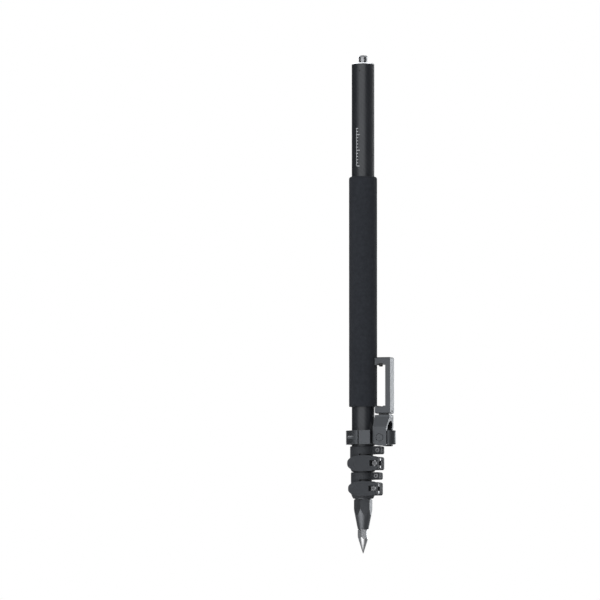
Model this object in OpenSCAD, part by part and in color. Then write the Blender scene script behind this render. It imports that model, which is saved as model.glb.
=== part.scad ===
// Telescopic prism pole: three nested carbon tubes, two cam-lever clamps, a foam grip,
// a level collar with a swing-out cradle, a threaded stud on top and a steel point below.
// The point's apex is the origin, +Z runs up the pole and +X is the side of the clamp lugs.

/* [Pole] */
// Height of the shoulder that the antenna or prism rests on, pole closed
shoulder_z = 782.3; // [775:0.1:800]
// Height of that shoulder with both sections fully drawn out
working_height = 1800; // [1500:1:1810]
// Outer diameter of the upper tube
upper_od = 36; // [35.6:0.1:36.4]
// Outer diameter of the middle tube
middle_od = 32; // [31.8:0.1:32.2]
// Outer diameter of the lower tube
lower_od = 28; // [27.8:0.1:28.2]
// Wall thickness of the tubes
tube_wall = 1.4; // [1.2:0.05:1.5]

/* [Grip] */
// Outer diameter of the foam grip
grip_od = 45; // [42:0.2:45]
// Height of the grip's lower end
grip_z = 233.4; // [230:0.2:240]
// Length of the grip
grip_len = 367; // [300:1:400]

/* [Clamps] */
// Height of the upper lever's middle
upper_lever_z = 142.9; // [142.6:0.1:143.1]
// Height of the lower lever's middle
lower_lever_z = 102.6; // [102.4:0.1:102.8]

/* [Level collar] */
// Outer radius of the collar
collar_r = 27.3; // [26:0.1:28]
// Height of the collar's underside
collar_z = 173.3; // [173:0.1:175]
// Height of the collar itself
collar_h = 21.9; // [21:0.1:22]
// Distance of the swing arm's pivot from the pole's axis
pivot_x = 33.05; // [33:0.05:34]
// Height of the swing arm's pivot
pivot_z = 183.7; // [183:0.1:184.5]

/* [Cradle] */
// Height of the cradle's underside, folded up
cradle_z = 222.2; // [221.8:0.1:223]
// Length of the cradle
cradle_len = 89.6; // [86:0.1:92]
// Width of the cradle's front face
cradle_w = 20.7; // [19:0.1:22]
// Clear height of the cradle's window
window_h = 65; // [60:0.1:66]

/* [Foot] */
// Width across the flats of the hexagonal foot
foot_flats = 26; // [25.6:0.1:26.2]
// Width across the flats of the steel point
point_flats = 15.4; // [15:0.1:15.7]
// Height of the foot's lower end
foot_z = 38.4; // [37:0.1:40]
// Height of the hexagon's top face
foot_top_z = 86.4; // [86:0.1:86.6]

/* [Hidden] */

$fn = 64;
run = 0.05;         // running clearance on a radius
seat = 0.02;        // clearance between pieces that are fixed together
far = 200;          // longer than any cut needs to be

carbon = [0.10, 0.10, 0.11];
foam = [0.16, 0.16, 0.17];
alloy = [0.30, 0.30, 0.32];
black = [0.09, 0.09, 0.10];
plastic = [0.20, 0.20, 0.22];
steel = [0.72, 0.72, 0.74];
rubber = [0.05, 0.05, 0.05];

// One clamp: lever height, outer tube radius, inner tube radius, band radius, lug end,
// half height of the lever, top of the upper band, height of that band, underside of the
// whole body, how much it narrows towards its underside, where the lever's barrel stands
CZ = 0;
C_OUT = 1;
C_IN = 2;
C_BAND = 3;
C_LUG = 4;
C_HALF = 5;
C_TOP = 6;
C_TALL = 7;
C_LOW = 8;
C_NOSE = 9;
C_PIN = 10;
upper_clamp = [upper_lever_z, upper_od/2, middle_od/2, 20.8, 32.3, 12.7,
               upper_lever_z + 27.5, 12.6, upper_lever_z - 12.8, 2.7, 25.9];
lower_clamp = [lower_lever_z, middle_od/2, lower_od/2, 19.5, 29.9, 11.7,
               lower_lever_z + 26.3, 11.6, lower_lever_z - 15.2, 3.5, 24.2];

upper_id = upper_od - 2*tube_wall + 0.2;
middle_id = middle_od - 2*tube_wall;
lower_id = lower_od - 2*tube_wall;

slit = 3;                   // gap between a clamp's two bands
lug_half = 9.5;             // half thickness of a pair of lugs
lug_gap = 1;                // half of the saw cut between two lugs
liner_t = 1.4;
lip = 1.2;                  // height of the lip that holds the liner
barrel_y = -17.35;          // the barrel that a lever turns on, in front of the lugs
barrel_r = 3.2;
barrel_flat = 2.4;          // from the barrel's axis to the flat under the bolt's head
cam_r = 6.2;
lever_front = -23.95;
plate_face = -11.02;        // front of the wear plate
plate_sink = 0.6;           // how deep it lies in the lug
slot_half = 3.6;            // half height of the slot that the plate slips in with
bolt_r = 2;                 // M4 shanks
bolt_head = 3.4;
bolt_socket = 3.4;
fork_half = 3.7;            // half height of the slot between a lever's two cams
fork_r = 6.5;
window_x = [-7.9, 4.9];     // a lever's window, from the barrel

flange_h = 2.7;
cap_top = shoulder_z - flange_h;
tube_top = cap_top;                   // the cap lies inside the tube, under the stud's flange
cap_len = 34;
stud_r = 7.9375;                      // 5/8 inch
stud_len = 11.8;
stud_cham = 2.2;
shank_r = 5;                          // the part of the stud that is sunk in the cap
shank_len = 20;
travel = (working_height - shoulder_z)/2;  // how far each section draws out

upper_tube_z = upper_clamp[C_TOP] - upper_clamp[C_TALL] + seat;
middle_tube_z = lower_clamp[C_TOP] - lower_clamp[C_TALL] + seat;
middle_tube_top = shoulder_z - 40.3;
lower_tube_z = foot_top_z + 1.2;
lower_tube_top = shoulder_z - 52.3;
assert(middle_tube_top - travel > upper_tube_z + 1.5*upper_od, "the sections must stay engaged");

block_x = 19.8;             // the collar's flat front and back end here
split_x = 1.2;              // the collar starts here
strap_x = -0.6;             // and its strap ends here
lug_w = 12.7;               // half width of the collar's lug
lug_end = 41.2;             // centre of its round end
collar_top = collar_z + collar_h;
collar_mid = collar_z + collar_h/2;
strap_screw_y = 22.3;
strap_seat = -4.2;          // where the strap screws' heads bear
vial_r = 9;

cheek_in = 12.8;
cheek_out = 18.7;
cheek_half = 11.15;         // half width of a cheek, measured along X
heel_r = 13;                // the heel rolls past the collar's block as the arm swings
arm_top = cradle_z - 2.3;
slot_z = 197.9;             // centre of the slot's round end
head_r = 5.5;

cradle_x0 = grip_od/2 + 0.2;
cradle_x1 = 48.4;
cradle_top = cradle_z + cradle_len;
bar_t = 8.3;
window_z = cradle_z + 12.4;
arch_x = 32;                // centre of the arched recesses
arch_r = 10;
arch_deep = 3;
tongue_x0 = 28.3;
tongue_x1 = 46.6;
tongue_w = 7.5;
tongue_z0 = 213.4;
tongue_z1 = 231;

function arc(cx, cy, r, a0, a1, n) = [for (i = [0:n]) let (a = a0 + (a1 - a0)*i/n)
    [cx + r*cos(a), cy + r*sin(a)]];

// ---- shared shapes ----

module tube(r_out, r_in, z0, z1) {
    translate([0, 0, z0]) difference() {
        cylinder(r = r_out, h = z1 - z0);
        translate([0, 0, -1]) cylinder(r = r_in, h = z1 - z0 + 2);
    }
}

// A rod along Y from y0 to y1
module rod_y(r, x, z, y0, y1) {
    translate([x, y0, z]) rotate([-90, 0, 0]) cylinder(r = r, h = y1 - y0);
}

// A rod along X from x0 to x1
module rod_x(r, y, z, x0, x1) {
    translate([x0, y, z]) rotate([0, 90, 0]) cylinder(r = r, h = x1 - x0);
}

// A hexagonal key socket along Y
module socket_y(flats, x, z, y0, y1) {
    translate([x, y0, z]) rotate([-90, 30, 0]) cylinder(r = flats/sqrt(3), h = y1 - y0, $fn = 6);
}

// A flat plate in the XZ plane with rounded corners, from y0 to y1
module rounded_plate_y(x0, x1, z0, z1, r, y0, y1) {
    translate([0, y1, 0]) rotate([90, 0, 0]) linear_extrude(y1 - y0) polygon(concat(
        arc(x1 - r, z1 - r, r, 0, 90, 8), arc(x0 + r, z1 - r, r, 90, 180, 8),
        arc(x0 + r, z0 + r, r, 180, 270, 8), arc(x1 - r, z0 + r, r, 270, 360, 8)));
}

// Lugs on the +X side that run into the band with a short taper
module lugs(c, z0, z1, round_r) {
    intersection() {
        translate([0, 0, z0]) linear_extrude(z1 - z0) polygon([
            [0, -c[C_BAND] + 4], [c[C_BAND] - 7, -lug_half - 3.5], [c[C_BAND] - 1, -lug_half],
            [c[C_LUG], -lug_half], [c[C_LUG], lug_half], [c[C_BAND] - 1, lug_half],
            [c[C_BAND] - 7, lug_half + 3.5], [0, c[C_BAND] - 4]]);
        rounded_plate_y(-1, c[C_LUG], z0, z1, round_r, -far/2, far/2);
    }
}

// ---- clamp pieces, the same for both clamps ----

module clamp_body(c) {
    shelf = c[C_TOP] - c[C_TALL];
    low_top = shelf - slit;
    nose = c[C_NOSE];
    color(black) difference() {
        union() {
            translate([0, 0, c[C_LOW]]) rotate_extrude() polygon([[0, 0],
                [c[C_BAND] - nose, 0], [c[C_BAND] - 0.55*nose, 0.85*nose], [c[C_BAND], 2.3*nose],
                [c[C_BAND], c[C_TOP] - c[C_LOW] - 0.8], [c[C_BAND] - 0.8, c[C_TOP] - c[C_LOW]],
                [0, c[C_TOP] - c[C_LOW]]]);
            lugs(c, shelf, c[C_TOP], 2.5);
            lugs(c, c[CZ] - 10.4, c[CZ] + 10.4, 3);
        }
        translate([0, 0, c[C_LOW] - 1]) cylinder(r = c[C_IN] + 0.3, h = far);
        translate([0, 0, c[C_LOW] + lip]) cylinder(r = c[C_IN] + liner_t + seat,
            h = low_top - 1 - c[C_LOW] - lip);
        translate([0, 0, shelf]) cylinder(r = c[C_OUT] + seat, h = far);
        translate([0, -far/2, low_top]) cube([far, far, slit]);
        translate([0, -lug_gap, c[C_LOW] - 1]) cube([far, 2*lug_gap, far]);
        rod_y(bolt_r + 0.15, c[C_PIN], c[CZ], -far/2, far/2);
        rounded_plate_y(c[C_LUG] - 14.1, far, c[CZ] - 9.1, c[CZ] + 9.1, 1.6,
            -far/2, -lug_half + plate_sink);
        translate([c[C_PIN], -far/2, c[CZ] - slot_half]) cube([far, far/2 - 6.5, 2*slot_half]);
        band_screw_hole(c);
    }
}

// The band screw's head is sunk in the front lug and its thread ends in the rear one
module band_screw_hole(c) {
    z = c[C_TOP] - c[C_TALL]/2;
    rod_y(bolt_r + seat, c[C_LUG] - 5.6, z, -far/2, lug_half - 2 + seat);
    rod_y(bolt_head + 0.1, c[C_LUG] - 5.6, z, -far/2, -lug_half + 3.2 + seat);
}

module clamp_band_screw(c) {
    x = c[C_LUG] - 5.6;
    z = c[C_TOP] - c[C_TALL]/2;
    color(steel) difference() {
        union() {
            rod_y(bolt_head, x, z, -lug_half + 0.2, -lug_half + 3.2);
            rod_y(bolt_r, x, z, -lug_half + 3, lug_half - 2);
        }
        socket_y(bolt_socket, x, z, -lug_half - 1, -lug_half + 2.6);
    }
}

module clamp_liner(c) {
    color(plastic) difference() {
        tube(c[C_IN] + liner_t, c[C_IN] + run, c[C_LOW] + lip + seat,
            c[C_TOP] - c[C_TALL] - slit - 1 - seat);
        translate([0, -lug_gap, c[C_LOW]]) cube([far, 2*lug_gap, far]);
    }
}

// The bolt that draws the lugs together: its head bears on the barrel inside the lever
module clamp_draw_bolt(c) {
    x = c[C_PIN];
    bearing = barrel_y - barrel_flat - seat;
    color(steel) difference() {
        union() {
            rod_y(bolt_head, x, c[CZ], bearing - 2.6, bearing);
            rod_y(bolt_r, x, c[CZ], bearing - 1, lug_half + 4);
        }
        socket_y(bolt_socket, x, c[CZ], bearing - 4, bearing - 1);
    }
}

module clamp_barrel(c) {
    x = c[C_PIN];
    half = 0.66*c[C_HALF];
    color(steel) difference() {
        translate([x, barrel_y, c[CZ] - half]) cylinder(r = barrel_r, h = 2*half);
        rod_y(bolt_r + seat, x, c[CZ], -far/2, far/2);
        translate([x - 5, barrel_y - barrel_flat - far, c[CZ] - bolt_head - 0.1])
            cube([10, far, 2*bolt_head + 0.2]);
    }
}

module clamp_nut(c) {
    x = c[C_PIN];
    color(steel) difference() {
        union() {
            rod_y(4.2, x, c[CZ], lug_half + seat, lug_half + 0.8);
            socket_y(7, x, c[CZ], lug_half + 0.8, lug_half + 3.4);
        }
        rod_y(bolt_r + seat, x, c[CZ], lug_half - 1, lug_half + 5);
    }
}

// The hard plate that the cams press on, slotted so that it slips in under the bolt
module clamp_wear_plate(c) {
    x = c[C_PIN];
    color(steel) difference() {
        rounded_plate_y(c[C_LUG] - 14, c[C_LUG] - 0.3, c[CZ] - 9, c[CZ] + 9, 1.5,
            plate_face, -lug_half + plate_sink - seat);
        rod_y(slot_half, x, c[CZ], -far/2, far/2);
        translate([x, -far/2, c[CZ] - slot_half]) cube([far, far, 2*slot_half]);
    }
}

// The lever's outline from the front: blunt on the left, an ellipse cut off on the right
function lever_outline(c) = let (
        half = c[C_HALF], tip = -1.53*half, mid = 0.66*half, nose = c[C_PIN] + cam_r + 0.2,
        right = 2.7*half, left = mid - tip, stop = acos((nose - mid)/right), blunt = 2/2.4,
        upper = concat(
            [for (i = [0:20]) let (a = stop + (90 - stop)*i/20) [mid + right*cos(a), half*sin(a)]],
            [for (i = [1:40]) let (a = 90*i/40)
                [mid - left*pow(sin(a), blunt), half*pow(cos(a), blunt)]]))
    concat(upper, [for (i = [1:len(upper) - 1]) let (p = upper[len(upper) - 1 - i]) [p[0], -p[1]]]);

// The lever seen from above: a bar that wraps the bands, and the cam at its end
module lever_plan(c) {
    x = c[C_PIN];
    tip = -1.53*c[C_HALF] - 0.2;
    corner = 0.8;
    back = barrel_y - 1.5;
    difference() {
        union() {
            translate([x, barrel_y]) circle(r = cam_r);
            polygon(concat([[x - 6.5, back], [tip + 2, back], [tip, back - 1.2]],
                arc(tip + 2, lever_front + 2, 2, 180, 270, 6),
                arc(x + cam_r - corner, lever_front + corner, corner, 270, 360, 4),
                [[x + cam_r, barrel_y], [x, barrel_y]]));
        }
        circle(r = c[C_BAND] + 0.5);
    }
}

module lever(c) {
    x = c[C_PIN];
    z = c[CZ];
    dish_r = 40;
    window_half = 0.38*c[C_HALF];
    color(plastic) difference() {
        intersection() {
            translate([0, 0, z - far/4]) linear_extrude(far/2) lever_plan(c);
            translate([0, 0, z]) rotate([90, 0, 0]) linear_extrude(far/2, center = true)
                polygon(lever_outline(c));
        }
        // the slot that the bolt and its head lie in as the lever swings, bridged at the front
        difference() {
            union() {
                translate([x, barrel_y, z - fork_half]) cylinder(r = fork_r, h = 2*fork_half);
                translate([x - 7.6, -far/2, z - fork_half]) cube([far, far/2, 2*fork_half]);
            }
            translate([x + window_x[1], -far, z - far/2]) cube([far, far + barrel_y - 2.4, far]);
        }
        rounded_plate_y(x + window_x[0], x + window_x[1], z - window_half, z + window_half, 1.2,
            lever_front - 1, barrel_y - 3);
        translate([x, barrel_y, z - far/2]) cylinder(r = barrel_r + run, h = far);
        translate([18 - c[C_LUG], lever_front - dish_r + 1, z]) sphere(r = dish_r, $fn = 96);
    }
}

// ---- upper section ----

module upper_tube() {
    color(carbon) difference() {
        tube(upper_od/2, upper_id/2, upper_tube_z, tube_top);
        rod_y(1.25, 0, cap_top - 11, -upper_od, 0);
    }
}

module top_cap() {
    fit_r = upper_id/2 - seat;
    color(carbon) difference() {
        rotate_extrude() polygon([[0, cap_top - cap_len], [fit_r - 1, cap_top - cap_len],
            [fit_r, cap_top - cap_len + 1], [fit_r, cap_top], [0, cap_top]]);
        translate([0, 0, cap_top - shank_len - seat]) cylinder(r = shank_r + seat, h = far);
        translate([0, 0, cap_top - cap_len - 1]) cylinder(r = 11, h = 10);
        rod_y(1.25, 0, cap_top - 11, -upper_od, -shank_r);
    }
}

module cap_set_screw() {
    color(rubber) difference() {
        rod_y(1.22, 0, cap_top - 11, -upper_od/2 + 0.3, -shank_r - 3*seat);
        socket_y(1.3, 0, cap_top - 11, -upper_od/2 - 1, -upper_od/2 + 1.8);
    }
}

// The thread's true form is 5/8 inch with 11 turns an inch; here it is its plain outer cylinder
module antenna_stud() {
    base = cap_top + seat;
    top = shoulder_z + stud_len;
    flange_r = upper_od/2;
    color(steel) rotate_extrude() polygon([
        [0, cap_top - shank_len], [shank_r, cap_top - shank_len], [shank_r, base],
        [flange_r - 0.2, base], [flange_r, base + 0.2], [flange_r - 0.5, base + 0.9],
        [flange_r - 2.4, base + 2.2], [flange_r - 3.6, shoulder_z], [stud_r, shoulder_z],
        [stud_r, top - stud_cham], [stud_r - stud_cham, top], [0, top]]);
}

module foam_grip() {
    r = grip_od/2;
    low_round = 1.2;
    top_round = 4;
    inner = upper_od/2 + seat;
    color(foam) translate([0, 0, grip_z]) rotate_extrude() polygon(concat(
        [[inner, 0]], arc(r - low_round, low_round, low_round, -90, 0, 4),
        arc(r - top_round, grip_len - top_round, top_round, 0, 90, 8), [[inner, grip_len]]));
}

module collar_outline() {
    union() {
        translate([split_x, -collar_r]) square([block_x - split_x, 2*collar_r]);
        translate([block_x - 5, -lug_w]) square([lug_end - block_x + 5, 2*lug_w]);
        translate([lug_end, 0]) circle(r = lug_w);
    }
}

module level_collar() {
    color(alloy) difference() {
        translate([0, 0, collar_z]) linear_extrude(collar_h) collar_outline();
        translate([0, 0, collar_z - 1]) cylinder(r = upper_od/2 + seat, h = far);
        translate([lug_end, 0, vial_floor()]) cylinder(r = vial_r + seat, h = far);
        for (side = [-1, 1]) {
            rod_x(bolt_r + seat, side*strap_screw_y, collar_mid, 0, 14);
            rod_y(2.5 + seat, pivot_x, pivot_z, side*lug_w - 4.5, side*lug_w + 4.5);
        }
    }
}

function vial_floor() = collar_top - 11.5;

// The clamping half: a half ring whose screws break out through its round side
module collar_strap() {
    color(alloy) difference() {
        intersection() {
            translate([0, 0, collar_z]) cylinder(r = collar_r, h = collar_h);
            translate([strap_x - far, -far/2, 0]) cube([far, far, far*2]);
        }
        translate([0, 0, collar_z - 1]) cylinder(r = upper_od/2 + seat, h = far);
        for (side = [-1, 1]) {
            rod_x(bolt_r + 0.2, side*strap_screw_y, collar_mid, -far/2, 1);
            rod_x(3.9, side*strap_screw_y, collar_mid, -far/2, strap_seat);
        }
    }
}

module collar_screws() {
    color(steel) for (side = [-1, 1]) difference() {
        union() {
            rod_x(3.5, side*strap_screw_y, collar_mid, strap_seat - 4 - seat, strap_seat - seat);
            rod_x(bolt_r, side*strap_screw_y, collar_mid, strap_seat - 1, 13);
        }
        translate([strap_seat - 5, side*strap_screw_y, collar_mid]) rotate([0, 90, 0])
            cylinder(r = bolt_socket/sqrt(3), h = 3, $fn = 6);
    }
}

module vial_cup() {
    color(black) translate([lug_end, 0, vial_floor() + seat]) difference() {
        cylinder(r = vial_r, h = 11.2);
        translate([0, 0, 1.2]) cylinder(r = vial_r - 1.2, h = far);
    }
}

module vial_spirit() {
    color([0.45, 0.75, 0.15]) translate([lug_end, 0, vial_floor() + 1.25])
        cylinder(r = vial_r - 1.2 - seat, h = 6.2);
}

module vial_glass() {
    color([0.85, 0.95, 0.85, 0.5]) translate([lug_end, 0, vial_floor() + 7.5])
        intersection() {
            cylinder(r = vial_r - 1.2 - seat, h = 3.6);
            translate([0, 0, 3.6 - 30]) sphere(r = 30, $fn = 96);
        }
}

// Shoulder screws: their flush heads turn inside the arm's cheeks
module pivot_screws() {
    color(alloy) for (side = [-1, 1]) mirror([0, side < 0 ? 1 : 0, 0]) difference() {
        union() {
            rod_y(head_r, pivot_x, pivot_z, cheek_out - 2, cheek_out - 0.15);
            rod_y(4, pivot_x, pivot_z, lug_w + seat, cheek_out - 1.9);
            rod_y(2.5, pivot_x, pivot_z, lug_w - 4.4, lug_w + 1);
        }
        rod_y(0.6, pivot_x, pivot_z, cheek_out - 0.6, cheek_out + 1);
    }
}

// ---- swing arm and cradle ----

module arm_side() {
    polygon(concat(
        [[cradle_x0 + 0.6, arm_top], [cradle_x0, arm_top - 0.6], [pivot_x - cheek_half, slot_z + 3]],
        arc(pivot_x, pivot_z, heel_r, 180 + acos(cheek_half/heel_r), 270, 10),
        arc(pivot_x + cheek_half - 2.5, pivot_z - heel_r + 2.4, 2.5, 270, 360, 6),
        [[pivot_x + cheek_half, slot_z], [cradle_x1 - 0.8, arm_top - 2.5],
         [cradle_x1 - 0.8, arm_top - 0.6], [cradle_x1 - 1.4, arm_top]]));
}

module arm_front() {
    shoulder_low = slot_z + 3;
    shoulder_high = arm_top - 3;
    polygon([[-cheek_out, pivot_z - far/4], [cheek_out, pivot_z - far/4],
        [cheek_out, shoulder_low], [cradle_w/2, shoulder_high], [cradle_w/2, arm_top + 1],
        [-cradle_w/2, arm_top + 1], [-cradle_w/2, shoulder_high], [-cheek_out, shoulder_low]]);
}

module swing_arm() {
    color(alloy) difference() {
        intersection() {
            rotate([90, 0, 0]) linear_extrude(far/2, center = true) arm_side();
            rotate([90, 0, 90]) linear_extrude(far/2) arm_front();
        }
        rod_x(cheek_in, 0, slot_z, 0, far/2);
        translate([0, -cheek_in, slot_z - far/2]) cube([far, 2*cheek_in, far/2]);
        rod_y(4 + run, pivot_x, pivot_z, -far/2, far/2);
        for (side = [-1, 1]) mirror([0, side < 0 ? 1 : 0, 0])
            rod_y(head_r + 0.8, pivot_x, pivot_z, cheek_out - 2.05, far/2);
        tongue_pocket();
        cradle_screw_hole(tongue_screw_z()[0]);
    }
}

function tongue_screw_z() = [arm_top - 3.3, cradle_z + 4.2];

module tongue_pocket() {
    translate([tongue_x0 - seat, -tongue_w - seat, tongue_z0 - seat])
        cube([tongue_x1 - tongue_x0 - 1.2 + 2*seat, 2*(tongue_w + seat), tongue_z1 - tongue_z0 + 2*seat]);
}

module cradle_screw_hole(z) {
    rod_x(1.25 + seat, 0, z, tongue_x1 - 8, far/2);
    rod_x(2.2, 0, z, tongue_x1 - 0.8, far/2);
}

module cradle_frame() {
    edge = 1.5;
    color(alloy) difference() {
        intersection() {
            rotate([90, 0, 0]) linear_extrude(cradle_w, center = true) polygon([
                [cradle_x0 + edge, cradle_z], [cradle_x1 - edge, cradle_z],
                [cradle_x1, cradle_z + edge], [cradle_x1, cradle_top - edge],
                [cradle_x1 - edge, cradle_top], [cradle_x0 + edge, cradle_top],
                [cradle_x0, cradle_top - edge], [cradle_x0, cradle_z + edge]]);
            rotate([90, 0, 90]) linear_extrude(far/2) polygon([
                [-cradle_w/2 + edge, cradle_z], [cradle_w/2 - edge, cradle_z],
                [cradle_w/2, cradle_z + edge], [cradle_w/2, cradle_top - edge],
                [cradle_w/2 - edge, cradle_top], [-cradle_w/2 + edge, cradle_top],
                [-cradle_w/2, cradle_top - edge], [-cradle_w/2, cradle_z + edge]]);
        }
        translate([0, -far/2, window_z]) cube([cradle_x1 - bar_t, far, window_h]);
        recesses(arch_r);
        tongue_pocket();
        cradle_screw_hole(tongue_screw_z()[1]);
    }
}

module cradle_tongue() {
    color(black) difference() {
        translate([tongue_x0, -tongue_w, tongue_z0])
            cube([tongue_x1 - tongue_x0 - 1.2, 2*tongue_w, tongue_z1 - tongue_z0]);
        for (z = tongue_screw_z()) rod_x(1.25 + seat, 0, z, tongue_x1 - 8, far/2);
    }
}

module cradle_screws() {
    color(steel) for (z = tongue_screw_z()) {
        rod_x(1.25, 0, z, tongue_x1 - 8 + seat, tongue_x1 - 0.7);
        rod_x(2.1, 0, z, tongue_x1 - 0.8 + seat, cradle_x1 - 0.9);
    }
}

// What two rods of radius r, one at each end of the window, take out beyond it
module recesses(r) {
    difference() {
        for (z = [window_z + arch_r - arch_deep, window_z + window_h - arch_r + arch_deep])
            rod_y(r, arch_x, z, -far/2, far/2);
        translate([0, -far, window_z]) cube([far, 2*far, window_h]);
    }
}

// Rubber linings of the two arched recesses
module cradle_pads() {
    pad_t = 1.4;
    width = cradle_w - 0.3;
    color(rubber) intersection() {
        difference() {
            recesses(arch_r - seat);
            recesses(arch_r - pad_t);
        }
        translate([0, -width/2, window_z - far]) cube([far, width, 3*far]);
    }
}

module cradle_button() {
    top = window_z + window_h + arch_deep - 1.4 - seat;
    color(rubber) translate([arch_x - 0.6, -5, 0]) rotate_extrude() polygon([
        [0, top - 4.2], [2.2, top - 4.2], [3.1, top - 3.4], [3.1, top - 0.9], [0, top - 0.9]]);
}

// ---- upper clamp ----

module upper_clamp_body() { clamp_body(upper_clamp); }
module upper_clamp_liner() { clamp_liner(upper_clamp); }
module upper_clamp_band_screw() { clamp_band_screw(upper_clamp); }
module upper_clamp_draw_bolt() { clamp_draw_bolt(upper_clamp); }
module upper_clamp_nut() { clamp_nut(upper_clamp); }
module upper_clamp_wear_plate() { clamp_wear_plate(upper_clamp); }
module upper_clamp_barrel() { clamp_barrel(upper_clamp); }
module upper_lever() { lever(upper_clamp); }

// ---- middle section and lower clamp ----

module middle_tube() {
    color(carbon) tube(middle_od/2, middle_id/2, middle_tube_z, middle_tube_top);
}

// A sleeve over the tube's top end, with a lip that rests on it
module guide_bush(bore_r, tube_r, lip_r, z_top) {
    sleeve = 18;
    color(plastic) difference() {
        translate([0, 0, z_top - sleeve]) cylinder(r = bore_r - run, h = sleeve + 1.5);
        translate([0, 0, z_top - sleeve - 1]) cylinder(r = tube_r + seat, h = sleeve + 1 + seat);
        translate([0, 0, z_top - 1]) cylinder(r = lip_r, h = 4);
    }
}

module middle_guide_bush() { guide_bush(upper_id/2, middle_od/2, middle_id/2 + 0.2, middle_tube_top); }
module lower_clamp_body() { clamp_body(lower_clamp); }
module lower_clamp_liner() { clamp_liner(lower_clamp); }
module lower_clamp_band_screw() { clamp_band_screw(lower_clamp); }
module lower_clamp_draw_bolt() { clamp_draw_bolt(lower_clamp); }
module lower_clamp_nut() { clamp_nut(lower_clamp); }
module lower_clamp_wear_plate() { clamp_wear_plate(lower_clamp); }
module lower_clamp_barrel() { clamp_barrel(lower_clamp); }
module lower_lever() { lever(lower_clamp); }

// ---- lower section and foot ----

module lower_tube() {
    color(carbon) tube(lower_od/2, lower_id/2, lower_tube_z + seat, lower_tube_top);
}

module lower_guide_bush() { guide_bush(middle_id/2, lower_od/2, lower_id/2 + 0.2, lower_tube_top); }

// A hexagonal bar sharpened like a pencil, with a spigot up inside the lower tube
module foot_body() {
    corner = foot_flats/sqrt(3);
    tip_r = 8.7;
    flank = 0.195;          // how fast the sharpened part widens
    cham = 1.4;
    color(alloy) difference() {
        union() {
            intersection() {
                translate([0, 0, foot_z]) rotate([0, 0, 30])
                    cylinder(r = corner, h = foot_top_z - foot_z, $fn = 6);
                rotate_extrude() polygon([[0, foot_z], [tip_r - 0.4, foot_z], [tip_r, foot_z + 0.5],
                    [corner + 0.5, foot_z + (corner + 0.5 - tip_r)/flank],
                    [corner + 0.2, foot_top_z - cham], [corner - 2.4, foot_top_z], [0, foot_top_z]]);
            }
            translate([0, 0, foot_top_z - 1]) cylinder(r = lower_id/2 - seat, h = 35);
            translate([0, 0, foot_top_z]) cylinder(r1 = 13.2, r2 = 13.6, h = lower_tube_z - foot_top_z);
        }
        translate([0, 0, foot_z - 1]) cylinder(r = 5 + seat, h = 26);
        translate([0, 0, foot_z + 30]) cylinder(r = 7, h = far);
    }
}

module point_tip() {
    corner = point_flats/sqrt(3);
    hex_top = foot_z - 0.8 - seat;
    color(steel) union() {
        intersection() {
            rotate([0, 0, 30]) cylinder(r = corner, h = hex_top, $fn = 6);
            rotate_extrude() polygon([[0, 0], [0.5, 0.4], [corner, 26.4], [corner, hex_top - 0.5],
                [corner - 0.5, hex_top], [0, hex_top]]);
        }
        translate([0, 0, hex_top - 1]) cylinder(r = 5, h = 24);
    }
}

module point_washer() {
    color(steel) tube(7.4, 5 + seat, foot_z - 0.8, foot_z - seat);
}

upper_tube();
top_cap();
cap_set_screw();
antenna_stud();
foam_grip();
level_collar();
collar_strap();
collar_screws();
vial_cup();
vial_spirit();
vial_glass();
pivot_screws();
swing_arm();
cradle_frame();
cradle_tongue();
cradle_screws();
cradle_pads();
cradle_button();
upper_clamp_body();
upper_clamp_liner();
upper_clamp_band_screw();
upper_clamp_draw_bolt();
upper_clamp_nut();
upper_clamp_wear_plate();
upper_clamp_barrel();
upper_lever();
middle_tube();
middle_guide_bush();
lower_clamp_body();
lower_clamp_liner();
lower_clamp_band_screw();
lower_clamp_draw_bolt();
lower_clamp_nut();
lower_clamp_wear_plate();
lower_clamp_barrel();
lower_lever();
lower_tube();
lower_guide_bush();
foot_body();
point_tip();
point_washer();
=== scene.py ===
import math

import bpy
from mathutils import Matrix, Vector, noise


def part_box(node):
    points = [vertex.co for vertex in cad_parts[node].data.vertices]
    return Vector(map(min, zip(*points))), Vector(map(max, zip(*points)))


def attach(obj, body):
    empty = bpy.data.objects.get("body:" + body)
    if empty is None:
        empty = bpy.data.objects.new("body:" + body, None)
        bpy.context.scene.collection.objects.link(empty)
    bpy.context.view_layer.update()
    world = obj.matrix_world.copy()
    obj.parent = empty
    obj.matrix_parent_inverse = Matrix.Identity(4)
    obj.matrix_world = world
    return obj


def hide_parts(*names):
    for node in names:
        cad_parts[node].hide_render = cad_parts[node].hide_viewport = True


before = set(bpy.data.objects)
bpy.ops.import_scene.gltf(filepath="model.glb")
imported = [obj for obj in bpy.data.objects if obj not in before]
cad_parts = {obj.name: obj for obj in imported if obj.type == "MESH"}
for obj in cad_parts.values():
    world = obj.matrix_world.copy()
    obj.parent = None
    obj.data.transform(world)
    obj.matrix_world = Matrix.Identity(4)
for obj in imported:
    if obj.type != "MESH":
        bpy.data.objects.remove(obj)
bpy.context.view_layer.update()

MM = 0.001

# ---------------------------------------------------------------- camera and stage

CAMERA_AZIMUTH = 18.0        # degrees to the right of the pole's front
CAMERA_ELEVATION = -3.0      # the camera looks up very slightly
LENS = 600.0                 # millimetres, so long that the view is almost parallel
FRAME_WIDTH = 0.9558         # metres across the picture at the pole
AIM_HEIGHT = 0.4038          # height that the picture's centre shows
AIM_LEFT = 0.10048           # the pole stands this far right of the picture's centre

COOL_WHITE = (0.95, 0.975, 1.0)

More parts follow.
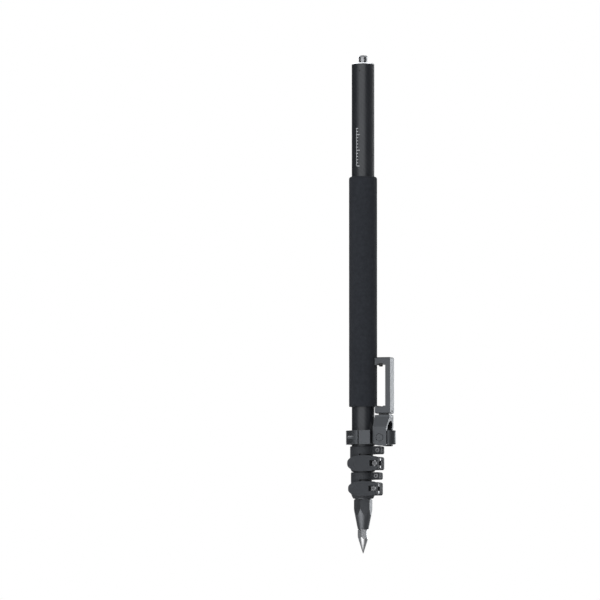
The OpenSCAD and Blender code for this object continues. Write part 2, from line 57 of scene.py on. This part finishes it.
# name, azimuth and elevation in degrees, distance, width and height in metres, power in watts
SOFTBOXES = [
    ("front", 0, 20, 1.9, 2.9, 3.3, 59.5),
    ("right", 118, 8, 1.9, 1.5, 2.4, 4),
    ("back_right", 158, 8, 2.0, 0.7, 2.4, 30),
    ("top_back", 198, 55, 2.0, 1.4, 1.4, 16),
    ("back", 212, 12, 2.2, 1.0, 2.2, 14),
]

FLOOR_HALF = 4.0             # half the side of the floor
FLOOR_FADE = (0.7, 1.7)      # distances between which it fades into the white background


def direction(azimuth, elevation):
    """Unit vector from the pole towards a point at that azimuth (0 is -Y, 90 is +X)."""
    a, e = math.radians(azimuth), math.radians(elevation)
    return Vector((math.sin(a) * math.cos(e), -math.cos(a) * math.cos(e), math.sin(e)))


def link(name, data):
    obj = bpy.data.objects.new(name, data)
    bpy.context.scene.collection.objects.link(obj)
    return obj


def aim(obj, target):
    obj.rotation_euler = (target - obj.location).to_track_quat("-Z", "Y").to_euler()


def add_camera():
    cam = link("camera", bpy.data.cameras.new("camera"))
    cam.data.lens = LENS
    cam.data.clip_end = 100.0
    back = direction(CAMERA_AZIMUTH, CAMERA_ELEVATION)
    a = math.radians(CAMERA_AZIMUTH)
    right = Vector((math.cos(a), math.sin(a), 0))
    target = Vector((0, 0, AIM_HEIGHT)) - right * AIM_LEFT
    cam.location = target + back * FRAME_WIDTH * LENS / cam.data.sensor_width
    aim(cam, target)
    bpy.context.scene.camera = cam


def add_softbox(name, azimuth, elevation, distance, width, height, power):
    data = bpy.data.lights.new(name, "AREA")
    data.shape = "RECTANGLE"
    data.size = width
    data.size_y = height
    data.energy = power
    data.color = COOL_WHITE
    lamp = link(name, data)
    lamp.visible_camera = False
    target = Vector((0, 0, AIM_HEIGHT))
    lamp.location = target + direction(azimuth, elevation) * distance
    aim(lamp, target)


def add_world():
    """White behind everything, but only a faint ambient light."""
    world = bpy.data.worlds.new("studio")
    bpy.context.scene.world = world
    world.use_nodes = True
    t = Tree(world.node_tree)
    seen = t.add("ShaderNodeBackground", Color=(1, 1, 1, 1), Strength=1.0)
    ambient = t.add("ShaderNodeBackground", Color=(0.93, 0.96, 1, 1), Strength=0.08)
    path = t.add("ShaderNodeLightPath")
    mix = t.add("ShaderNodeMixShader", path["Is Camera Ray"], ambient, seen)
    t.add("ShaderNodeOutputWorld", Surface=mix)


def add_floor():
    """A pale floor that fades into the white background and is clear from below.

    Steel and cones mirror it, with painted reflections that only glossy rays see: painted dark round
    the point, and a glowing bright patch before the point and another before the foot."""
    h = FLOOR_HALF
    mesh = bpy.data.meshes.new("floor")
    mesh.from_pydata([(-h, -h, 0), (h, -h, 0), (h, h, 0), (-h, h, 0)], [], [(0, 1, 2, 3)])
    floor = link("floor", mesh)
    mat, t = material("pale_floor")
    path = t.add("ShaderNodeLightPath")
    seen, mirrored = path["Is Camera Ray"], path["Is Glossy Ray"]
    grain = t.noise(60, detail=4)
    colour = t.ramp(grain, (0.3, (0.80, 0.80, 0.80)), (0.7, (0.84, 0.84, 0.84)))
    # painted reflection: the floor is darkened round the point only where a mirror sees it
    painted_dark_reflection_mask = t.pool(0, 0, 0.09, 0.14, 1.0)
    colour = t.mix(t.math("MULTIPLY", painted_dark_reflection_mask, mirrored), colour, (0.22, 0.22, 0.22))
    # painted reflection: bright glowing patch before the foot and one before the point, seen only in
    # mirrors
    painted_glow_before_foot = t.pool(-0.06, -0.25, 0.08, 0.20, 6.5)
    painted_glow_before_point = t.pool(0.003, -0.046, 0.015, 0.04, 1.6)
    painted_reflection_patches = t.math("MULTIPLY", mirrored, t.math("ADD", painted_glow_before_foot, painted_glow_before_point))
    floor_glow_and_painted_reflection = t.math("ADD", t.math("MULTIPLY", seen, 0.5), painted_reflection_patches)
    paper = t.principled(colour, 0.9, Emission_Color=(1, 1, 1, 1), Emission_Strength=floor_glow_and_painted_reflection)
    fade = t.add("ShaderNodeMapRange", t.distance_to(0, 0), *FLOOR_FADE, 0.0, 1.0,
                 props={"interpolation_type": "SMOOTHSTEP"})
    below = t.add("ShaderNodeNewGeometry")["Backfacing"]
    unseen = t.math("MAXIMUM", below, t.math("MULTIPLY", fade, seen))
    nothing = t.add("ShaderNodeBsdfTransparent")
    t.output(t.add("ShaderNodeMixShader", unseen, paper, nothing))
    mesh.materials.append(mat)


# ---------------------------------------------------------------- node trees

class Tree:
    """Short calls for building a node tree. An input is a value, a node or a node's socket."""

    def __init__(self, node_tree):
        self.tree = node_tree
        node_tree.nodes.clear()

    def add(self, kind, *inputs, props=None, **named):
        """A node. Inputs go in by order, or by name with _ for a space; props are its settings."""
        node = self.tree.nodes.new(kind)
        for key, value in (props or {}).items():
            setattr(node, key, value)
        for i, value in enumerate(inputs):
            self.feed(node.inputs[i], value)
        for key, value in named.items():
            self.feed(node.inputs[key.replace("_", " ")], value)
        return Out(node)

    def feed(self, socket, value):
        if value is None:
            return
        if isinstance(value, Out):
            value = value.socket
        if isinstance(value, bpy.types.NodeSocket):
            self.tree.links.new(value, socket)
        else:
            socket.default_value = value

    def math(self, operation, a, b=None, c=None):
        return self.add("ShaderNodeMath", a, b, c, props={"operation": operation})

    def mix(self, factor, a, b):
        """Colour a where the factor is 0, colour b where it is 1."""
        factor_in, a_in, b_in, colour_out = 0, 6, 7, 2
        node = self.tree.nodes.new("ShaderNodeMix")
        node.data_type = "RGBA"
        self.feed(node.inputs[factor_in], factor)
        self.feed(node.inputs[a_in], rgba(a))
        self.feed(node.inputs[b_in], rgba(b))
        return Out(node, node.outputs[colour_out])

    def ramp(self, factor, *stops):
        """A colour ramp; each stop is (position, colour)."""
        node = self.tree.nodes.new("ShaderNodeValToRGB")
        elements = node.color_ramp.elements
        while len(elements) < len(stops):
            elements.new(0.5)
        for element, (position, colour) in zip(elements, stops):
            element.position = position
            element.color = rgba(colour)
        self.feed(node.inputs[0], factor)
        return Out(node)

    def place(self, scale=(1, 1, 1)):
        """Object coordinates, in metres at rest, stretched by scale."""
        coords = self.add("ShaderNodeTexCoord")["Object"]
        return self.add("ShaderNodeMapping", coords, Scale=scale)

    def distance_to(self, x, y):
        """Distance on the floor from (x, y), in metres."""
        coords = self.add("ShaderNodeTexCoord")["Object"]
        away = self.add("ShaderNodeVectorMath", coords, (x, y, 0), props={"operation": "DISTANCE"})
        return away["Value"]

    def pool(self, x, y, inner, outer, strength):
        """The strength within inner metres of (x, y) on the floor, falling to 0 at outer."""
        return self.add("ShaderNodeMapRange", self.distance_to(x, y), inner, outer, strength, 0.0)

    def noise(self, scale, detail=3, stretch=(1, 1, 1), roughness=0.5):
        return self.add("ShaderNodeTexNoise", Vector=self.place(stretch), Scale=scale, Detail=detail,
                        Roughness=roughness)

    def painted_gap_shade(self, colour, reach):
        """The colour, darkened to near black where the surface lies in a gap or recess narrower than
        the reach: painted shade from ambient occlusion.
        """
        sky = self.add("ShaderNodeAmbientOcclusion", Distance=reach, props={"samples": 6})
        clear = self.add("ShaderNodeMapRange", sky["AO"], 0.4, 0.78, 0.0, 1.0)
        return self.mix(clear, (0.001, 0.001, 0.001), colour)

    def bump(self, height, distance, strength):
        return self.add("ShaderNodeBump", Height=height, Distance=distance, Strength=strength)

    def edge_wear_and_painted_highlight(self, radius, low=0.02, high=0.25):
        """1 on convex edges, 0 elsewhere, from how far a rounded normal leans off the true one; it
        lightens edges, partly as wear and partly as painted highlight.
        """
        soft = self.add("ShaderNodeBevel", Radius=radius, props={"samples": 6})
        true = self.add("ShaderNodeNewGeometry")["Normal"]
        dot = self.add("ShaderNodeVectorMath", soft, true, props={"operation": "DOT_PRODUCT"})
        lean = self.math("SUBTRACT", 1.0, dot["Value"])
        return self.add("ShaderNodeMapRange", lean, low, high)

    def principled(self, colour, roughness, metallic=0.0, normal=None, **more):
        return self.add("ShaderNodeBsdfPrincipled", Base_Color=rgba(colour), Roughness=roughness,
                        Metallic=metallic, Normal=normal, **more)

    def output(self, shader):
        self.add("ShaderNodeOutputMaterial", Surface=shader)


class Out:
    """A node, and the socket that it gives when it is used as an input."""

    def __init__(self, node, socket=None):
        self.node = node
        self.socket = socket or (node.outputs[0] if node.outputs else None)

    def __getitem__(self, name):
        return self.node.outputs[name]


def rgba(colour):
    """A plain colour with full alpha; a node's output is passed on as it is."""
    if isinstance(colour, (tuple, list)) and len(colour) == 3:
        return (*colour, 1.0)
    return colour


def material(name):
    """A new material and its empty node tree."""
    mat = bpy.data.materials.new(name)
    mat.use_nodes = True
    return mat, Tree(mat.node_tree)


# ---------------------------------------------------------------- materials

def cylinder_coords(t):
    """(angle in radians, height in metres) about the pole's axis."""
    coords = t.add("ShaderNodeTexCoord")["Object"]
    xyz = t.add("ShaderNodeSeparateXYZ", coords)
    return t.math("ARCTAN2", xyz["Y"], xyz["X"]), xyz["Z"]


def twill(t, angle, height, tows, pitch):
    """A two-by-two twill: which tow is on top (0 or 1) and how high the cloth stands."""
    u = t.math("MULTIPLY", angle, tows / (2 * math.pi))
    v = t.math("DIVIDE", height, pitch)
    cell = t.math("ADD", t.math("FLOOR", u), t.math("FLOOR", v))
    on_top = t.math("LESS_THAN", t.math("FLOORED_MODULO", cell, 4.0), 1.5)
    crowns = [t.math("SINE", t.math("MULTIPLY", t.math("FRACT", s), math.pi)) for s in (u, v)]
    low = t.math("MULTIPLY", crowns[1], t.math("SUBTRACT", 1.0, on_top))
    return on_top, t.math("ADD", t.math("MULTIPLY", crowns[0], on_top), low)


def band(t, value, centre, half):
    """1 where value lies within half of centre."""
    away = t.math("ABSOLUTE", t.math("SUBTRACT", value, centre))
    return t.math("LESS_THAN", away, half)


def ruler(t, angle, height, radius, centre_angle, z_low, z_high):
    """A printed scale: a tick every 5 mm, longer every 25 mm, beside a thin line."""
    pitch, tick_share = 5 * MM, 0.16
    short, extra = 2.4 * MM, 2.6 * MM
    margin = 3 * MM
    along = t.math("MULTIPLY", t.math("SUBTRACT", angle, centre_angle), radius)
    step = t.math("DIVIDE", t.math("SUBTRACT", height, z_low), pitch)
    tick = t.math("LESS_THAN", t.math("FRACT", step), tick_share)
    fifth = t.math("LESS_THAN", t.math("FLOORED_MODULO", step, 5.0), 0.9)
    reach = t.math("MULTIPLY_ADD", fifth, extra, short)
    beyond = t.math("MULTIPLY", t.math("GREATER_THAN", along, -margin),
                    t.math("LESS_THAN", along, t.math("SUBTRACT", reach, margin)))
    ticks = t.math("MULTIPLY", tick, beyond)
    line = band(t, along, -margin - 0.2 * MM, 0.25 * MM)
    span = band(t, height, (z_low + z_high) / 2, (z_high - z_low) / 2)
    return t.math("MULTIPLY", t.math("MAXIMUM", ticks, line), span)


def carbon(name, radius, tows, mark):
    """Satin carbon twill under lacquer, with painted shade towards the rim, where a dark matt coat is
    mixed in as the surface turns from view, and with a printed scale.

    tows is how many tows go round the tube; mark is the scale's (angle, bottom, top)."""
    mat, t = material(name)
    angle, height = cylinder_coords(t)
    on_top, cloth = twill(t, angle, height, tows, 2 * math.pi * radius / tows)
    fibres = t.noise(2600, detail=2, stretch=(1, 1, 0.15))
    shade = t.mix(on_top, (0.0105, 0.0115, 0.0138), (0.0155, 0.0166, 0.0195))
    shade = t.mix(t.math("MULTIPLY", fibres, 0.3), shade, (0.0255, 0.0275, 0.032))
    smudge = t.noise(45, detail=5)
    rough = t.add("ShaderNodeMapRange", smudge, 0.3, 0.7, 0.34, 0.42)
    ink = ruler(t, angle, height, radius, *mark)
    shade = t.mix(ink, shade, (0.62, 0.62, 0.63))
    bump = t.bump(cloth, 0.02 * MM, 0.12)
    lacquer = t.principled(shade, rough, normal=bump, Specular_IOR_Level=0.48)
    # painted rim shade: a dark matt diffuse mixed in where the surface turns away from view
    facing = t.add("ShaderNodeLayerWeight")["Facing"]
    rim = t.add("ShaderNodeMapRange", facing, 0.3, 0.6, 0.0, 0.72)
    matt = t.add("ShaderNodeBsdfDiffuse", Color=(0.02, 0.021, 0.023, 1))
    t.output(t.add("ShaderNodeMixShader", rim, lacquer, matt))
    return mat


def foam():
    """Closed-cell grip foam: dull, mottled, with fine pebbles and pin holes."""
    mat, t = material("grip_foam")
    cells = t.add("ShaderNodeTexVoronoi", Vector=t.place(), Scale=1100.0)
    grit = t.noise(2600, detail=3)
    mottle = t.noise(170, detail=6, roughness=0.7)
    shade = t.ramp(mottle, (0.32, (0.0125, 0.0135, 0.0165)), (0.68, (0.0235, 0.0255, 0.030)))
    pits = t.add("ShaderNodeMapRange", cells, 0.0, 0.5, 0.0, 1.0)
    shade = t.mix(t.math("MULTIPLY", pits, 0.35), shade, (0.037, 0.0395, 0.046))
    height = t.math("ADD", t.math("MULTIPLY", pits, -0.7), t.math("MULTIPLY", grit, 0.5))
    bump = t.bump(height, 0.18 * MM, 0.6)
    t.output(t.principled(shade, 0.93, normal=bump, Specular_IOR_Level=0.08, Sheen_Weight=0.03,
                          Sheen_Roughness=0.6))
    return mat


def anodised(name, base, edge_wear_and_highlight_colour=(0.30, 0.30, 0.31), roughness=0.42, metallic=0.75):
    """Bead-blasted, anodised alloy: fine frosting, faint streaks, brighter on edges, partly where
    they rub and partly as painted highlight, with painted shade in gaps and recesses.
    """
    mat, t = material(name)
    blast = t.noise(4200, detail=2)
    cloudy = t.noise(120, detail=5)
    shade = t.mix(t.math("MULTIPLY", cloudy, 0.30), base, tuple(c * 1.35 for c in base))
    # edges lightened towards the edge colour: partly scuffed wear, partly painted highlight
    edges = t.edge_wear_and_painted_highlight(0.35 * MM)
    scuffs = t.add("ShaderNodeMapRange", t.noise(700, detail=4), 0.42, 0.66)
    wear = t.math("MULTIPLY", edges, t.math("MULTIPLY_ADD", scuffs, 0.55, 0.25))
    shade = t.mix(wear, shade, edge_wear_and_highlight_colour)
    # painted shade: near black in gaps and recesses
    shade = t.painted_gap_shade(shade, 2.5 * MM)
    rough = t.math("MULTIPLY_ADD", cloudy, 0.10, roughness - 0.05)
    bump = t.bump(blast, 0.02 * MM, 0.5)
    t.output(t.principled(shade, rough, metallic, bump))
    return mat


def moulded(name, base, grain_scale=1500, roughness=0.5, bump_mm=0.05, specular=0.45):
    """Moulded nylon with a spark-eroded grain, edges lightened partly as polish and partly as painted
    highlight, and painted shade in gaps and recesses.
    """
    mat, t = material(name)
    grain = t.add("ShaderNodeTexVoronoi", Vector=t.place(), Scale=float(grain_scale),
                  props={"feature": "SMOOTH_F1"})
    fine = t.noise(grain_scale * 2.2, detail=2)
    cloudy = t.noise(90, detail=4)
    shade = t.mix(t.math("MULTIPLY", cloudy, 0.4), base, tuple(c * 1.3 for c in base))
    # edges lightened: partly polish, partly painted highlight
    edges = t.edge_wear_and_painted_highlight(0.4 * MM, 0.03, 0.3)
    shade = t.mix(t.math("MULTIPLY", edges, 0.35), shade, tuple(c * 2.2 for c in base))
    # painted shade: near black in gaps and recesses
    shade = t.painted_gap_shade(shade, 2.5 * MM)
    rough = t.math("MULTIPLY_ADD", fine, 0.12, roughness - 0.05)
    height = t.math("ADD", grain, t.math("MULTIPLY", fine, 0.4))
    t.output(t.principled(shade, rough, 0.0, t.bump(height, bump_mm * MM, 0.55),
                          Specular_IOR_Level=specular))
    return mat


def turned_steel(name, base, roughness, streak=(1, 1, 1), dirt=0.35):
    """Machined steel: tool marks, small stains, slightly uneven polish, and painted shade in gaps and
    recesses.
    """
    mat, t = material(name)
    marks = t.noise(900, detail=3, stretch=streak)
    stain = t.noise(260, detail=6, roughness=0.65)
    spots = t.add("ShaderNodeMapRange", stain, 0.50, 0.74)
    shade = t.mix(t.math("MULTIPLY", marks, 0.4), base, tuple(c * 0.78 for c in base))
    shade = t.mix(t.math("MULTIPLY", spots, dirt), shade, tuple(c * 0.42 for c in base))
    # painted shade: near black in gaps and recesses
    shade = t.painted_gap_shade(shade, 1.8 * MM)
    rough = t.math("MULTIPLY_ADD", stain, 0.22, roughness - 0.08)
    t.output(t.principled(shade, rough, 1.0, t.bump(marks, 0.012 * MM, 0.5)))
    return mat


def rubber():
    """Dull black pads."""
    mat, t = material("pad_rubber")
    grit = t.noise(1800, detail=4)
    shade = t.ramp(grit, (0.3, (0.010, 0.010, 0.010)), (0.7, (0.024, 0.024, 0.024)))
    t.output(t.principled(shade, 0.72, 0.0, t.bump(grit, 0.05 * MM, 0.5)))
    return mat


def spirit():
    """The vial's green spirit."""
    mat, t = material("vial_spirit_green")
    depth = t.noise(90, detail=2)
    shade = t.ramp(depth, (0.3, (0.20, 0.50, 0.02)), (0.7, (0.34, 0.66, 0.05)))
    t.output(t.principled(shade, 0.06, 0.0, None, Transmission_Weight=0.35, IOR=1.36))
    return mat


def clear(name, tint=(0.96, 0.99, 0.96)):
    """Clear acrylic with a trace of haze, or air."""
    mat, t = material(name)
    haze = t.noise(300, detail=3)
    rough = t.math("MULTIPLY_ADD", haze, 0.05, 0.0)
    t.output(t.principled(tint, rough, 0.0, None, Transmission_Weight=1.0, IOR=1.49))
    return mat


def paint(nodes, mat):
    """Gives the CAD nodes a material."""
    for node in nodes:
        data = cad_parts[node].data
        data.materials.clear()
        data.materials.append(mat)


def clamp_nodes(*names):
    """The same parts of both clamps."""
    return [f"{end}_{name}" for end in ("upper", "lower") for name in names]


def paint_metal():
    paint(["level_collar", "collar_strap", "pivot_screws", "swing_arm", "cradle_frame", "foot_body"],
          anodised("alloy_grey", (0.060, 0.0625, 0.0665)))
    paint(["top_cap"], anodised("alloy_black", (0.022, 0.022, 0.024), roughness=0.4, metallic=0.4))
    paint(["vial_cup"], anodised("cup_black", (0.02, 0.02, 0.022), metallic=0.3))
    paint(clamp_nodes("clamp_band_screw", "clamp_nut", "clamp_draw_bolt") + ["cradle_screws"],
          turned_steel("screw_steel", (0.13, 0.13, 0.134), 0.38))
    paint(clamp_nodes("clamp_wear_plate", "clamp_barrel"),
          turned_steel("plate_steel", (0.62, 0.62, 0.63), 0.28))
    paint(["collar_screws", "cap_set_screw", "cradle_tongue"],
          anodised("black_oxide", (0.015, 0.015, 0.016), (0.12, 0.12, 0.12), 0.36, 0.6))
    paint(["point_tip", "point_washer"],
          turned_steel("bright_steel", (0.62, 0.62, 0.63), 0.22, dirt=0.5))


def paint_plastic():
    paint(clamp_nodes("clamp_body"),
          moulded("clamp_nylon", (0.0225, 0.0238, 0.0268), roughness=0.66, specular=0.3))
    paint(clamp_nodes("lever"),
          moulded("lever_nylon", (0.0295, 0.0313, 0.035), 2200, 0.7, 0.02, 0.3))
    paint(clamp_nodes("clamp_liner") + ["middle_guide_bush", "lower_guide_bush"],
          moulded("acetal", (0.12, 0.12, 0.118), 1900, 0.4, 0.02))
    paint(["cradle_pads", "cradle_button"], rubber())
    paint(["vial_spirit"], spirit())
    paint(["vial_glass"], clear("vial_acrylic"))


def paint_tubes():
    """Carbon tubes. The upper one has a short scale over the grip, the others a long one."""
    scale_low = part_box("foam_grip")[1].z + 16 * MM
    scale = (math.radians(-97), scale_low, scale_low + 61 * MM)
    paint(["upper_tube"], carbon("carbon_upper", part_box("upper_tube")[1].x, 56, scale))
    for node, tows in (("middle_tube", 50), ("lower_tube", 44)):
        low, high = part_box(node)
        scale = (math.radians(-90), low.z + 60 * MM, high.z - 120 * MM)
        paint([node], carbon("carbon_" + node, high.x, tows, scale))


# ---------------------------------------------------------------- meshes

def mesh_object(name, verts, faces, mat, body, sharp=40):
    """A smooth piece on a body; edges above sharp degrees stay hard."""
    mesh = bpy.data.meshes.new(name)
    mesh.from_pydata(verts, [], faces)
    mesh.validate()
    mesh.materials.append(mat)
    mesh.polygons.foreach_set("use_smooth", [True] * len(mesh.polygons))
    mesh.set_sharp_from_angle(angle=math.radians(sharp))
    obj = link(name, mesh)
    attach(obj, body)
    return obj


def revolve(rings, segments, radius_at=None):
    """Verts and faces of a surface of revolution about the pole's axis.

    rings is a list of (radius, height); radius_at(radius, height, angle) may bend it."""
    verts = []
    for radius, height in rings:
        for i in range(segments):
            angle = 2 * math.pi * i / segments
            r = radius_at(radius, height, angle) if radius_at else radius
            verts.append((r * math.cos(angle), r * math.sin(angle), height))
    faces = []
    for j in range(len(rings) - 1):
        for i in range(segments):
            k = (i + 1) % segments
            a, b = j * segments, (j + 1) * segments
            faces.append((a + i, a + k, b + k, b + i))
    return verts, faces


def close_loop(faces, rings, segments):
    """Joins the last ring of a hollow sleeve to its first."""
    last = (len(rings) - 1) * segments
    for i in range(segments):
        k = (i + 1) % segments
        faces.append((last + i, last + k, k, i))


def close_ends(faces, rings, segments):
    """Caps the first and the last ring of a solid."""
    last = (len(rings) - 1) * segments
    faces.append(tuple(range(segments))[::-1])
    faces.append(tuple(last + i for i in range(segments)))


def arc_points(cx, cy, r, start, stop, steps):
    """Points on an arc about (cx, cy), angles in degrees."""
    out = []
    for i in range(steps + 1):
        a = math.radians(start + (stop - start) * i / steps)
        out.append((cx + r * math.cos(a), cy + r * math.sin(a)))
    return out


def moved(verts, centre):
    """The points, carried sideways from the pole's axis to the centre."""
    return [(x + centre.x, y + centre.y, z) for x, y, z in verts]


def build_grip():
    """The foam sleeve: rounded ends and a skin that is slightly uneven to the touch."""
    low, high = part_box("foam_grip")
    outer = high.x - 0.12 * MM
    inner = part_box("upper_tube")[1].x + 0.02 * MM
    round_low, round_top = 1.2 * MM, 4.0 * MM
    rows, segments = 230, 112
    run = high.z - low.z - round_low - round_top
    rings = [(inner, low.z), (inner + 0.8 * MM, low.z)]
    rings += arc_points(outer - round_low, low.z + round_low, round_low, -90, 0, 5)[:-1]
    rings += [(outer, low.z + round_low + run * i / rows) for i in range(rows + 1)]
    rings += arc_points(outer - round_top, high.z - round_top, round_top, 0, 90, 10)[1:]
    rings += [(inner, high.z)]

    def uneven(radius, height, angle):
        if radius < inner + 0.3 * MM:
            return radius
        p = Vector((radius * math.cos(angle), radius * math.sin(angle), height))
        soft = noise.noise(p * 38) * 0.05 + noise.noise(p * 160) * 0.035 + noise.noise(p * 420) * 0.03
        return radius + soft * MM

    verts, faces = revolve(rings, segments, uneven)
    close_loop(faces, rings, segments)
    grip = mesh_object("grip_foam_sleeve", verts, faces, foam(), "upper_section", sharp=60)
    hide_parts("foam_grip")


def build_stud():
    """The true thread: 5/8 inch, 11 turns an inch, right-handed, on its flange."""
    low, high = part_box("antenna_stud")
    flange_r = high.x
    shank_r = 4.9 * MM
    major, minor = 7.9375 * MM, 6.75 * MM
    pitch = 25.4 / 11 * MM
    shoulder = high.z - 11.8 * MM
    base = shoulder - 2.68 * MM
    lead = 2.2 * MM
    runout = 0.9 * MM
    rows, segments = 84, 72
    threaded = -1

    def thread(radius, height, angle):
        if radius != threaded:
            return radius
        turn = ((height - shoulder) / pitch - angle / (2 * math.pi)) % 1.0
        rise = abs(turn - 0.5) * 2
        crest = min(1.0, max(0.0, (0.88 - rise) / 0.76))
        r = minor + (major - minor) * crest
        r = min(r, major - lead + high.z - height)
        return min(r, minor - 0.2 * MM + max(0.0, height - shoulder - runout) * 1.2)

    # how far in from the flange's edge, and how far above its base, in millimetres
    flange = [(0.2, 0), (0, 0.2), (0.5, 0.9), (2.4, 2.2), (3.6, 2.68)]
    rings = [(shank_r, low.z), (shank_r, base)]
    rings += [(flange_r - inset * MM, base + rise * MM) for inset, rise in flange]
    rings += [(6.7 * MM, shoulder)]
    rings += [(threaded, shoulder + (high.z - shoulder) * i / rows) for i in range(rows + 1)]
    verts, faces = revolve(rings, segments, thread)
    close_ends(faces, rings, segments)
    steel = turned_steel("stud_steel", (0.74, 0.74, 0.75), 0.17, (1, 1, 6), 0.2)
    stud = mesh_object("threaded_stud", verts, faces, steel, "upper_section", sharp=35)
    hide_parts("antenna_stud")


def build_bubble():
    """The vial's bubble, a low dome under the glass."""
    low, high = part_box("vial_spirit")
    wide, tall = 3.1 * MM, 0.45 * MM
    foot, tip = high.z + 0.02 * MM, 0.001 * MM
    steps, segments = 10, 40
    rings = []
    for i in range(steps + 1):
        a = math.pi / 2 * i / steps
        rings.append((wide * math.cos(a) + tip, foot + tall * math.sin(a)))
    verts, faces = revolve(rings, segments)
    close_ends(faces, rings, segments)
    mesh_object("vial_bubble", moved(verts, (low + high) / 2), faces, clear("bubble_air", (1, 1, 1)),
                "upper_section")


def build_read_ring():
    """The ring that the bubble is read against."""
    low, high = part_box("vial_spirit")
    inner, outer, thick = 3.6 * MM, 4.1 * MM, 0.12 * MM
    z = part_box("vial_glass")[0].z + 0.6 * MM
    segments = 48
    rings = [(inner, z), (outer, z), (outer, z + thick), (inner, z + thick)]
    verts, faces = revolve(rings, segments)
    close_loop(faces, rings, segments)
    ink = anodised("ring_ink", (0.01, 0.01, 0.01), metallic=0.0)
    mesh_object("vial_ring", moved(verts, (low + high) / 2), faces, ink, "upper_section")


add_camera()
for box in SOFTBOXES:
    add_softbox(*box)
add_world()
add_floor()
paint_metal()
paint_plastic()
paint_tubes()
build_grip()
build_stud()
build_bubble()
build_read_ring()
bpy.context.scene.view_settings.view_transform = "Standard"
